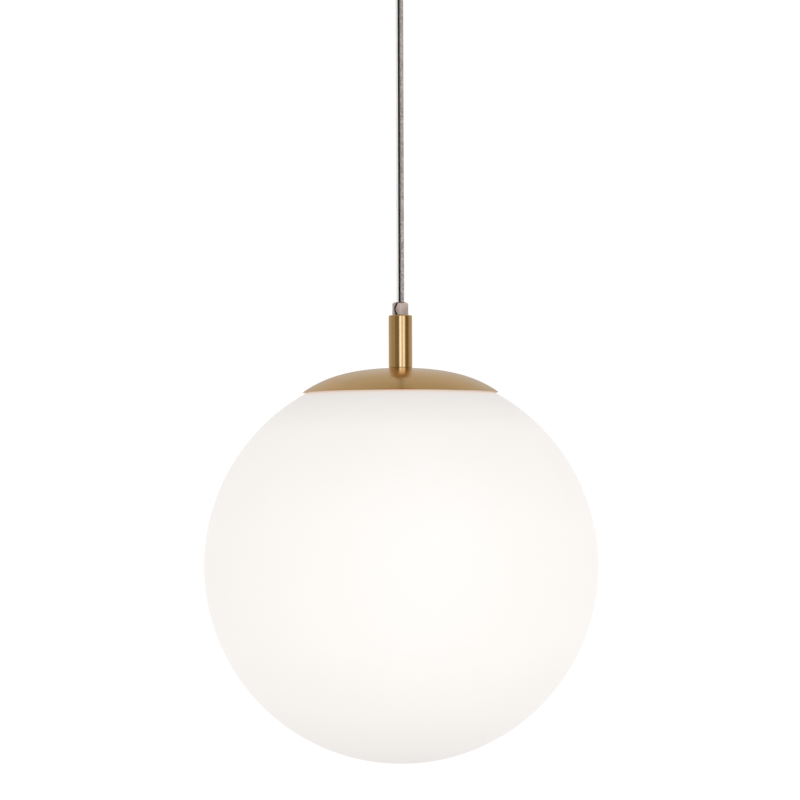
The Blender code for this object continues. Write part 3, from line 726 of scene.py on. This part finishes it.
def make_gland():
    """The gland body in the canopy, its lock nut, dome nut and seal, and the ball on the cord."""
    collar, ball_seat = CANOPY_FOOT - 0.3, 6.8
    pivot = PIVOT / MM
    shoulder, bore, thread = pivot + 5.6, 3.5, 7.3
    rows = fine_span(thread, -21.3, collar + 0.2, 0.22)
    profile = [(bore, -21.0), (thread - 0.4, -21.0)] + rows + rounded([
        (thread, collar), (10.5, collar, 0.4), (10.5, collar - 3.0, 0.3), (8.2, collar - 3.0)])[1:]
    profile += [(8.2, pivot), (ball_seat, pivot), (ball_seat, shoulder), (bore, shoulder)]
    cut_thread = threaded(0.45, 1.1, collar, -21.0, thread - 0.05)
    flat = hexagonal(19.2, 9.0)

    def shape(radius, height, angle):
        if radius > 9.0:
            return flat(radius, height, angle)
        return cut_thread(radius, height, angle) if abs(radius - thread) < 0.1 else radius
    turned("gland_barrel", profile, "satin_brass", "ceiling", "gland_body", FINE, True, shape)
    hex_nut("gland_locking_nut", "gland_lock_nut", 20.0, 7.6, "ceiling", 1.1)

    mouth_at = 3.47
    seat = arc(ball_seat, 0.0, -math.degrees(math.asin(mouth_at / ball_seat)), 10)
    outline = rounded([(8.5, 6.4), (10.5, 6.4, 0.5), (10.5, -4.6, 0.6), (9.9, -6.9, 1.4), (8.6, -8.0, 0.4),
                       (8.0, -7.6, 0.2), seat[-1]], steps=5)
    outline += seat[-2::-1] + [(ball_seat, -0.3), (8.5, -0.3)]
    turned("gland_dome", outline, "satin_brass", "ceiling", "gland_dome_nut", 180, True,
           knurled(45, 0.28, -3.4, 5.4, 10.3), level=PIVOT)

    half, outer, inner = 2.4, 6.5, 4.9
    side, cup = (math.degrees(math.asin(half / r)) for r in (outer, inner))
    turned("gland_rubber", arc(outer, side, -side, 10) + arc(inner, -cup, cup, 8), "black_rubber",
           "gland_seal", "gland_seal", FINE, True)
    ball, bore = 4.6, 3.35
    pole = math.degrees(math.acos(bore / ball))
    turned("strain_ball", arc(ball, pole, -pole, 14), "contact_brass", "cord", "cord_ball", FINE, True)


def make_ceiling_wiring():
    _, foot, top = extent("cord_upper_tail")
    jacket("cord_tail_jacket", top, foot, "ceiling", "cord_upper_tail")
    wires("cord_tail", top - 0.2, foot + 0.2, "ceiling")
    start = top + 0.3
    mouth, level = -18.0, -14.0
    for name, side, colour in LEADS:
        nut_x = side * 9.0
        lead(f"supply_{name}", [
            (side * 1.2, -1.2, start), (side * 1.4, -1.8, -15.0), (side * 3.2, -5.0, -12.6),
            (side * 6.5, -10.0, -12.8), (nut_x, -15.0, -13.8), (nut_x, mouth, level),
            (nut_x, mouth - 7.0, level),
        ], 0.9, colour, "ceiling", f"ceiling_lead_{name}")
        profile = [(0.0, -10.0), (2.6, -10.0)] + rounded([
            (2.6, -10.0), (2.6, 0.0, 0.4), (4.6, 0.0, 0.5), (4.6, -3.0, 0.3), (3.7, -13.6, 0.6),
            (2.5, -16.2, 1.2), (0.0, -16.2)])[1:]
        turned(f"wire_cap_{name}", refined(profile, 1.0), "nut_plastic", "ceiling", f"wire_nut_{name}", 120,
               shape=knurled(12, 0.45, -14.0, -3.6, 3.0), place=(nut_x, mouth), turn=(-90.0, 0.0, 0.0),
               level=level * MM)

    lug_top = -2.8
    lug_foot, barrel_z = lug_top - 0.6, lug_top - 1.5
    ring = rounded([(2.1, 0.0, 0.1), (4.6, 0.0, 0.2), (4.6, -0.6, 0.2), (2.1, -0.6, 0.1)], True)
    lug = lathe("lug", ring, COARSE, True)
    for operation, radius, reach, x in (("UNION", 1.5, 2.85, -6.95), ("DIFFERENCE", 1.15, 3.2, -8.5)):
        barrel = rod(radius, reach, -reach, sides=24)
        barrel.transform(Matrix.Rotation(math.radians(90), 4, "Y"))
        barrel.transform(Matrix.Translation(Vector((x, 0.0, -1.5)) * MM))
        lug = cut(lug, [barrel], operation)
    piece("earth_lug", lug, "zinc_steel", "ceiling", "ground_lug", (GROUND_AT, 0.0), level=lug_top * MM)
    screw("earth_screw", 3.9, (lug_foot - 2.3, lug_foot - 0.3), 1.7, -0.4, 0.7, "green_steel", "ceiling",
          "ground_screw", (GROUND_AT, 0.0))
    lead("supply_ground", [
        (0.0, 1.7, start), (0.2, 2.4, -14.5), (0.6, 2.2, -9.0), (2.4, 0.8, -5.2),
        (5.0, 0.0, barrel_z), (9.1, 0.0, barrel_z),
    ], 0.9, "green_wire", "ceiling", "ceiling_lead_ground")


make_bracket()
make_canopy()
make_studs()
make_gland()
make_ceiling_wiring()


# ---------------- globe, cap and stem

STEM_RADIUS, _, STEM_TOP = extent("stem", LAMP)
CAP_RADIUS, CAP_FOOT, CAP_TOP = extent("cap", LAMP)
CAP_WALL, GLOBE_WALL, MOUTH = 1.2, 2.5, 52.0


def cap_drop(radius):
    return 0.00194 * radius**2 + 2.5e-7 * radius**4


def cap_height(radius):
    """The cap's outer face: a shallow dome that steepens to its rim."""
    return CAP_TOP + cap_drop(STEM_RADIUS) - cap_drop(radius)


def make_globe():
    inner = GLOBE_RADIUS - GLOBE_WALL
    outer_edge = math.degrees(math.acos(MOUTH / GLOBE_RADIUS))
    inner_edge = math.degrees(math.acos((MOUTH + 0.4) / inner))
    inside = arc(inner, -90.0, 0.0, 45) + arc(inner, 0.0, inner_edge - 0.5, 34)[1:]
    outside = arc(GLOBE_RADIUS, outer_edge - 0.5, 0.0, 40) + arc(GLOBE_RADIUS, 0.0, -90.0, 52)[1:]
    inside[0], outside[-1] = (0.0, -inner), (0.0, -GLOBE_RADIUS)
    top_in, top_out = polar(inner, inner_edge), polar(GLOBE_RADIUS, outer_edge)
    lip = rounded([inside[-1], (*top_in, 0.8), (*top_out, 0.8), outside[0]], steps=5)[1:-1]
    turned("globe_glass", inside + lip + outside, "opal_glass", "globe", "globe", SMOOTH, sharp=60.0)


def make_cap():
    """The spun brass cap, whose cut edge stands just off the glass."""
    inner_rim = CAP_RADIUS - 1.9
    skirt = CAP_RADIUS - 0.65
    radii = [STEM_RADIUS + (CAP_RADIUS - STEM_RADIUS) * i / 48 for i in range(49)]
    outside = [(r, cap_height(r)) for r in radii[:-1]]
    rim = rounded([outside[-1], (skirt, cap_height(skirt), 0.4), (CAP_RADIUS, CAP_FOOT + 0.12, 0.1),
                   (CAP_RADIUS - 0.2, CAP_FOOT, 0.08), (inner_rim, CAP_FOOT + 0.1, 0.2),
                   (inner_rim - 0.8, cap_height(inner_rim - 0.8) - CAP_WALL)], steps=5)[1:-1]
    under = [(r, cap_height(r) - CAP_WALL) for r in radii if r < inner_rim - 0.8]
    profile = [(HOLE, cap_height(STEM_RADIUS))] + outside + rim + under[::-1]
    profile.append((HOLE, cap_height(STEM_RADIUS) - CAP_WALL))
    turned("cap_dome", profile, "satin_brass", "lamp", "cap", SMOOTH, True, sharp=50.0)
    inner, outer, gap = 53.5, 57.5, 0.3
    glass = [math.sqrt(GLOBE_RADIUS**2 - r**2) + gap for r in (inner, outer)]
    metal = [cap_height(r) - CAP_WALL - gap for r in (inner, outer)]
    ring = rounded([(inner, metal[0], 0.3), (outer, metal[1], 0.3), (outer, glass[1], 0.3),
                    (inner, glass[0], 0.3)], True)
    turned("glass_gasket", ring, "silicone", "lamp", "cap_gasket", SMOOTH, True)


def make_stem():
    radius, washer_foot, _ = extent("stem_washer", LAMP)
    tube_foot = washer_foot + 0.15
    profile = rounded([(HOLE, STEM_TOP, 0.3), (STEM_RADIUS, STEM_TOP, 1.0), (STEM_RADIUS, tube_foot, 0.15),
                       (HOLE, tube_foot, 0.1)], True, 6)
    turned("stem_tube", profile, "stem_brass", "lamp", "stem", 96, True)
    seat = cap_height(STEM_RADIUS)
    ring = rounded([(HOLE, tube_foot, 0.05), (radius, tube_foot, 0.1), (radius, seat, 0.1),
                    (HOLE, seat, 0.05)], True)
    turned("stem_foot_washer", ring, "washer_bronze", "lamp", "stem_washer", 96, True)
    radius, foot, top = extent("lamp_cord_grip", LAMP)
    bore, shank, collar = CORD_RADIUS + 0.3, 4.95, STEM_TOP + 0.3
    clear = rounded([(bore, top, 0.25), (radius, top, 2.0), (radius, collar, 0.3), (shank, collar, 0.1),
                     (shank, foot, 0.3), (bore, foot, 0.2)], True, 7)
    turned("cord_grip", clear, "grip_plastic", "lamp", "lamp_cord_grip", 96, True)
    sleeve = rounded([(bore + 0.1, top - 1.2, 0.3), (4.1, top - 1.2, 0.6), (4.1, foot + 1.0, 0.3),
                      (bore + 0.1, foot + 1.0, 0.3)], True)
    turned("grip_sleeve", sleeve, "grip_sleeve", "lamp", None, FINE, True)
    bend = [(-2.2, -3.6, top - 1.1), (-3.3, -3.0, top - 3.2), (-3.65, -2.8, top - 5.0),
            (-3.4, -2.9, top - 7.4), (-2.6, -3.4, top - 9.6), (-2.3, -3.5, foot + 1.0)]
    piece("grip_black_wire", tube(smooth_route(bend), 0.62), "black_core", "lamp")
    radius, foot, top = extent("threaded_nipple", LAMP)
    profile = [(3.4, top), (radius - 0.6, top)] + fine_span(radius, top - 0.5, foot + 0.5, 0.2)
    profile += [(radius - 0.6, foot), (3.4, foot)]
    turned("nipple", profile, "zinc_steel", "lamp", "threaded_nipple", 60, True,
           threaded(0.5, 1.0, foot + 0.3, top - 0.3, 4.9))


make_globe()
make_cap()
make_stem()


# ---------------- globe holder

PLATE_RADIUS, PLATE_FOOT, PLATE_TOP = extent("holder_plate", LAMP)
CLIP_SCREW_AT = 36.0


def make_holder():
    """What hangs on the nipple under the cap: washer, nuts, and the plate with its spring clips."""
    radius, foot, top = extent("lock_washer", LAMP)
    teeth = [polar(6.2 if i // 3 % 2 else HOLE, 5 * i) for i in range(72)]
    data = plate([circle(radius, sides=72), teeth], top - foot, 0.15)
    piece("tooth_washer", data, "zinc_steel", "lamp", "lock_washer", level=LAMP + (top + foot) / 2 * MM)
    for place in ("upper", "lower"):
        hex_nut(f"nut_{place}", f"hex_nut_{place}", 15.0, HOLE, "lamp")

    angles = (90, 210, 330)
    holes = [circle(1.75, polar(CLIP_SCREW_AT, a), 24) for a in angles]
    data = plate([circle(PLATE_RADIUS, sides=SMOOTH), circle(HOLE), *holes], PLATE_TOP - PLATE_FOOT)
    middle = LAMP + (PLATE_TOP + PLATE_FOOT) / 2 * MM
    piece("clip_plate", data, "zinc_steel", "lamp", "holder_plate", level=middle)

    level = PLATE_FOOT - 0.6
    bends = rounded([(30.0, level), (44.2, level, 2.0), (47.6, 133.6, 1.6), (50.4, 132.2, 1.6),
                     (53.0, 134.6, 2.0), (55.0, 136.0)], steps=8)
    path = [bends[0], (34.0, level), (36.0, level), (38.0, level)] + bends[1:]
    hole = rod(1.75, level + 1, level - 1, (CLIP_SCREW_AT, 0.0), 24)
    for number, angle in enumerate(angles, 1):
        data = cut(ribbon("clip", path, 9.0, 0.6), [hole.copy()])
        piece(f"clip_{number}", data, "spring_steel", "lamp", f"spring_clip_{number}", turn=(0, 0, angle))
        screw(f"clip_bolt_{number}", 2.6, (level - 2.2, level - 0.6), 1.4, 143.0, 0.5, "zinc_steel",
              "lamp", f"clip_screw_{number}", polar(CLIP_SCREW_AT, angle))


# ---------------- socket and bulb

E26_PITCH, E26_DEPTH = 3.629, 0.62      # the bulb drops one pitch a turn
TERMINAL_AT, SOCKET_SCREW_AT, SOCKET_HOLE = 9.0, 13.5, 1.65


def make_socket():
    top, wall, outer, inner, foot = 135.9, 1.0, 20.0, 19.2, 118.0
    ring = rounded([(HOLE, top, 0.2), (outer, top, 1.8), (outer, foot, 0.3), (inner, foot, 0.3),
                    (inner, top - wall, 1.2), (HOLE, top - wall, 0.2)], True, 6)
    holes = [rod(SOCKET_HOLE, top + 1, top - wall - 2, (0.0, side * SOCKET_SCREW_AT), 24)
             for side in (1, -1)]
    piece("socket_cover", cut(lathe("cover", ring, 96, True), holes), "zinc_steel", "lamp", "socket_cap")

    radius, foot, top = extent("socket_body", LAMP)
    cavity, cavity_top = 14.4, 122.0
    profile = rounded([
        (0.0, top), (radius, top, 0.9), (radius, 114.6, 0.3), (radius - 0.8, 114.2, 0.3),
        (radius - 0.8, 112.2, 0.3), (radius, 111.8, 0.3), (radius, foot, 1.4), (cavity, foot, 1.2),
        (cavity, cavity_top, 0.4), (0.0, cavity_top),
    ], steps=5)
    holes = [rod(SOCKET_HOLE, top + 1, 123.5, (0.0, side * SOCKET_SCREW_AT), 24) for side in (1, -1)]
    holes += [rod(1.85, top + 1, 124.2, (side * TERMINAL_AT, 0.0), 24) for side in (1, -1)]
    piece("socket_ceramic", cut(lathe("ceramic", profile, 96), holes), "porcelain", "lamp", "socket_body")

    high, low = 120.2, 97.0
    outside = refined([(13.95, 120.8), (13.95, low)], 0.4)
    inside = refined([(13.45, low), (13.45, high)], 0.4)
    profile = [(9.0, 120.8)] + outside + inside + [(9.0, high)]
    turned("thread_shell", profile, "contact_brass", "lamp", "screw_shell", FINE, True,
           threaded(E26_DEPTH, E26_PITCH, low - 1.0, high - 0.6, 13.0, soft=True))
    tongue = smooth_route([(8.2, 121.4, 0), (3.0, 121.4, 0), (0.4, 120.2, 0), (-2.6, 119.0, 0)], 6)
    data = ribbon("tongue", [(p[0], p[1]) for p in tongue], 5.0, 0.5)
    piece("contact_tongue", data, "contact_brass", "lamp", "centre_contact")
    for number, side in ((1, 1), (2, -1)):
        screw(f"cover_screw_{number}", 2.6, (136.2, 137.8), 1.3, 123.9, 0.5, "zinc_steel", "lamp",
              f"socket_screw_{number}", (0.0, side * SOCKET_SCREW_AT), True)
    for name, side, _ in LEADS:
        screw(f"terminal_{name}", 3.0, (130.2, 131.8), 1.5, 124.6, 0.6, "contact_brass", "lamp",
              f"terminal_screw_{name}", (side * TERMINAL_AT, 0.0), True, cross=False)


def make_lamp_wiring():
    """The cord's three leads, down through the stem and nipple to the socket."""
    top, radius, level = 185.4, 0.8, 129.1
    for name, side, colour in LEADS:
        hook = side * (1.8 + radius)
        lead(f"lead_{name}", [
            (side * 1.5, 0.0, top), (side * 1.5, 0.0, 160.0), (side * 1.5, 0.0, 136.0),
            (side * 2.2, side * 0.8, 133.0), (side * 3.6, side * 2.0, 130.6),
            (side * 5.6, hook, level + 0.1), (side * 8.2, hook, level), (side * 11.0, hook, level),
        ], radius, colour, "lamp", f"lamp_lead_{name}", 5)
    lead("lead_ground", [
        (0.0, 1.5, top), (0.0, 1.5, 160.0), (0.0, 1.5, 136.0), (0.5, 2.3, 133.2),
        (1.6, 4.8, 131.0), (2.4, 8.4, 130.4), (2.45, 12.0, 130.4), (2.45, 16.0, 130.4),
    ], radius, "green_wire", "lamp", "lamp_lead_ground", 6)


def flute(radius, height, angle):
    """Shallow flutes up the bulb's housing."""
    if radius < 13.0 or not 52.0 < height < 82.0 or radius < 14.5 + (80.0 - height) * 0.29:
        return radius
    ends = min(1.0, (height - 52.0) / 4.0, (82.0 - height) / 4.0)
    return radius - 0.4 * ends * (0.5 - 0.5 * math.cos(24 * angle)) ** 2


def joined(meshes):
    """The first mesh, with the others added to it; they don't touch."""
    shape = bmesh.new()
    for data in meshes:
        shape.from_mesh(data)
    shape.to_mesh(meshes[0])
    shape.free()
    return meshes[0]


def make_bulb():
    """An LED bulb: contact tip, glass insulator, screw base, housing, board and diffuser."""
    radius, foot, top = extent("bulb_tip", LAMP)
    turned("tip_contact", [(0.0, top), (0.9, top - 0.03), (1.8, top - 0.2), (2.5, top - 0.45),
                           (3.0, top - 0.75), (radius, foot + 0.2), (radius - 0.2, foot), (0.0, foot)],
           "solder", "bulb_tip", "bulb_tip", COARSE)
    profile = rounded([(0.0, 116.5), (4.4, 116.5, 0.6), (6.0, 115.8, 1.0), (10.4, 112.9, 0.2),
                       (10.4, 112.5, 0.1), (0.0, 112.5)])
    turned("base_insulator", profile, "black_glass", "bulb", "bulb_insulator")

    outside = refined([(13.0, 109.4), (13.0, 88.0)], 0.4)
    inside = refined([(12.5, 88.0), (12.5, 108.9)], 0.4)
    profile = rounded([(4.8, 112.2), (9.6, 112.2, 0.8), (12.3, 109.9, 0.5), outside[0]])
    profile += outside[1:] + inside
    profile += rounded([inside[-1], (11.9, 109.3, 0.4), (9.4, 111.7, 0.8), (4.8, 111.7)])[1:]
    turned("base_shell", profile, "nickel", "bulb", "bulb_screw_base", FINE, True,
           threaded(E26_DEPTH, E26_PITCH, 89.6, 109.3, 12.3, soft=True))

    profile = rounded([
        (0.0, 103.0), (11.6, 103.0, 0.5), (11.6, 87.6, 0.2), (14.2, 87.6, 0.5), (14.7, 85.6, 0.8),
        (16.8, 78.0, 20.0), (21.5, 66.0, 30.0), (25.6, 55.5, 12.0), (27.6, 48.8, 1.0), (27.6, 47.0, 0.4),
        (25.8, 47.0, 0.3), (25.5, 50.2, 1.0), (23.2, 57.0, 8.0), (19.5, 66.0, 12.0), (14.8, 78.0, 2.0),
        (0.0, 82.0),
    ], steps=6)
    turned("heat_sink", refined(profile, 1.5), "bulb_plastic", "bulb", "bulb_housing", SMOOTH, shape=flute)

    radius, foot, top = extent("led_board", LAMP)
    disc = rounded([(0.0, top), (radius, top, 0.2), (radius, foot, 0.2), (0.0, foot)])
    turned("driver_board", disc, "led_board", "bulb", "led_board")
    spots = [(ring, 360 * i / count) for count, ring in ((6, 8.0), (12, 18.5)) for i in range(count)]
    chips = [block((3.0, 2.6, 0.7), (*polar(*spot), foot - 0.34), spot[1]) for spot in spots]
    piece("led_chips", joined(chips), "phosphor", "bulb")

    wall, rim, radius, foot = 1.2, 46.7, 30.0, 10.0
    centre = foot + radius
    outer_edge = math.degrees(math.asin((rim - centre) / radius))
    inner_edge = math.degrees(math.asin((rim - centre) / (radius - wall)))
    inside = arc(radius - wall, -90.0, inner_edge, 26, (0.0, centre))
    outside = arc(radius, outer_edge, -90.0, 30, (0.0, centre))
    inside[0], outside[-1] = (0.0, foot + wall), (0.0, foot)
    turned("diffuser_dome", inside + outside, "diffuser", "bulb", "bulb_diffuser", 96, sharp=50.0)


make_holder()
make_socket()
make_lamp_wiring()
make_bulb()


# ---------------- floor, light and backdrop

def stage(name, data, paint, *hidden_from):
    made = placed(name, data)
    data.materials.append(paint.material)
    for ray in hidden_from:
        setattr(made, f"visible_{ray}", False)


def studio_sweep():
    """A white floor that curves up into a wall all round, seen by the camera and through glass."""
    floor, radius, curve = -4.3, 9.0, 3.0
    profile = [(0.0, floor), (radius - curve, floor)]
    profile += arc(curve, -80.0, 0.0, 16, (radius - curve, floor + curve))
    profile += [(radius, 7.0), (0.8 * radius, 10.0), (0.0, 12.0)]
    data = lathe("studio_sweep", [(r / MM, z / MM) for r, z in profile], 96)
    data.shade_smooth()
    paint = Surface("studio_white", (0.86, 0.86, 0.855), 0.7)
    paint.shade(paint.noise(0.6), 0.99, 1.01)
    paint.glow((1.0, 1.0, 1.0), paint.between(paint.split_place()["Z"], 0.34, 0.74, floor, floor + 0.7))
    stage("studio_sweep", data, paint, "diffuse", "glossy", "shadow")


def panel(name, start, end, radiance):
    """A screen that only the polished metal reflects, over angles seen from the lamp, 0 to the camera."""
    distance, half_height, steps = 2.4, 1.7, 10
    points = [(x / MM, y / MM, (LAMP + side * half_height) / MM)
              for x, y in arc(distance, start - 90.0, end - 90.0, steps) for side in (-1, 1)]
    faces = [(2 * k, 2 * k + 2, 2 * k + 3, 2 * k + 1) for k in range(steps)]
    paint = Surface(name, (0.01, 0.01, 0.01), 0.9)
    strength = max(radiance)
    colour = [c / strength for c in radiance]
    paint.glow(colour, paint.between(paint.noise(1.5), 0.97 * strength, 1.03 * strength))
    stage(name, mesh_of(name, points, faces), paint, "camera", "diffuse", "transmission", "shadow")


def key_light(name, place, size, share):
    """A broad soft light that a white surface facing it would return this share of."""
    light = bpy.data.lights.new(name, "AREA")
    light.shape, light.size = "DISK", size
    aim = Vector((0.0, 0.0, LAMP)) - Vector(place)
    light.energy = share * (math.pi * aim.length) ** 2
    made = placed(name, light)
    made.location = place
    made.rotation_euler = aim.to_track_quat("-Z", "Y").to_euler()
    made.visible_camera = made.visible_glossy = False


def set_world():
    """Soft grey all round, brightest behind the lamp."""
    world = bpy.context.scene.world = bpy.data.worlds.new("studio")
    world.use_nodes = True
    tree = world.node_tree
    kinds = ("ShaderNodeTexCoord", "ShaderNodeSeparateXYZ", "ShaderNodeMapRange")
    place, split, level = (tree.nodes.new(kind) for kind in kinds)
    for socket, value in zip(("From Min", "From Max", "To Min", "To Max"), (-0.2, 1.0, 0.36, 0.60)):
        level.inputs[socket].default_value = value
    background = tree.nodes["Background"]
    background.inputs["Color"].default_value = (1.0, 0.995, 0.985, 1.0)
    tree.links.new(place.outputs["Generated"], split.inputs[0])
    tree.links.new(split.outputs["Y"], level.inputs["Value"])
    tree.links.new(level.outputs["Result"], background.inputs["Strength"])


studio_sweep()
panel("board_left", -54.0, -15.0, (0.20, 0.185, 0.13))
panel("softbox_centre", -10.0, 11.0, (1.33, 1.62, 2.35))
panel("softbox_gap", 11.0, 20.0, (0.42, 0.44, 0.46))
panel("softbox_right", 20.0, 43.0, (1.22, 1.34, 1.75))
panel("board_right", 52.0, 86.0, (0.17, 0.15, 0.09))
key_light("key", (0.35, -2.9, LAMP + 0.3), 1.6, 0.165)
set_world()

view = bpy.context.scene.view_settings
view.view_transform, view.look = "Standard", "None"
